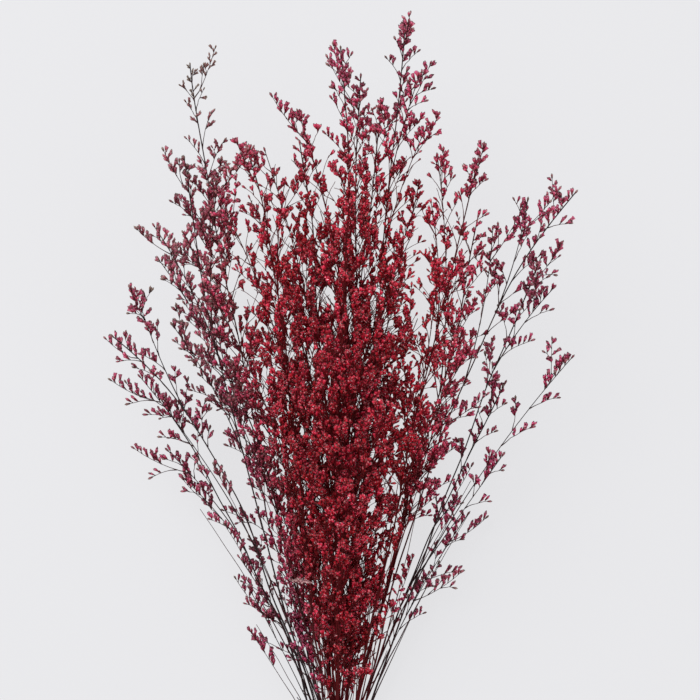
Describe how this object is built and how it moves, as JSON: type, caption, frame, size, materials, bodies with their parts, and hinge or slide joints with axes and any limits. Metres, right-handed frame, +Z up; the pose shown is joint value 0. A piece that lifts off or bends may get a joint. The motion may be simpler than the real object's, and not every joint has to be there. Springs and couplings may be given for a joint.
{
  "type": "dried statice bunch",
  "caption": "Bunch of dyed dried statice lying on its side: branching stems with crimson floret spikes, held by an elastic band near the cut ends.",
  "frame": {"origin": "the flat spot under the elastic band, where the bunch rests on the surface", "axes": "+Y from the cut ends to the flower head, +Z up from the surface, +X to the right seen from above"},
  "size_m": [0.3125, 0.596, 0.1825],
  "materials": {
    "dried_stem": "matte, dry, dark brown to near-black green-grey",
    "dyed_floret": "matte, papery, dyed crimson",
    "elastic_band": "matte natural rubber"
  },
  "bodies": {
    "root": {"stem_01": "dried_stem", "stem_02": "dried_stem", "stem_03": "dried_stem", "stem_04": "dried_stem", "stem_05": "dried_stem", "stem_06": "dried_stem", "stem_07": "dried_stem", "stem_08": "dried_stem", "stem_09": "dried_stem", "stem_10": "dried_stem", "stem_11": "dried_stem", "stem_12": "dried_stem", "stem_13": "dried_stem", "stem_14": "dried_stem", "stem_15": "dried_stem", "stem_16": "dried_stem", "stem_17": "dried_stem", "stem_18": "dried_stem", "stem_19": "dried_stem", "tie": "elastic_band"}
  },
  "joints": []
}
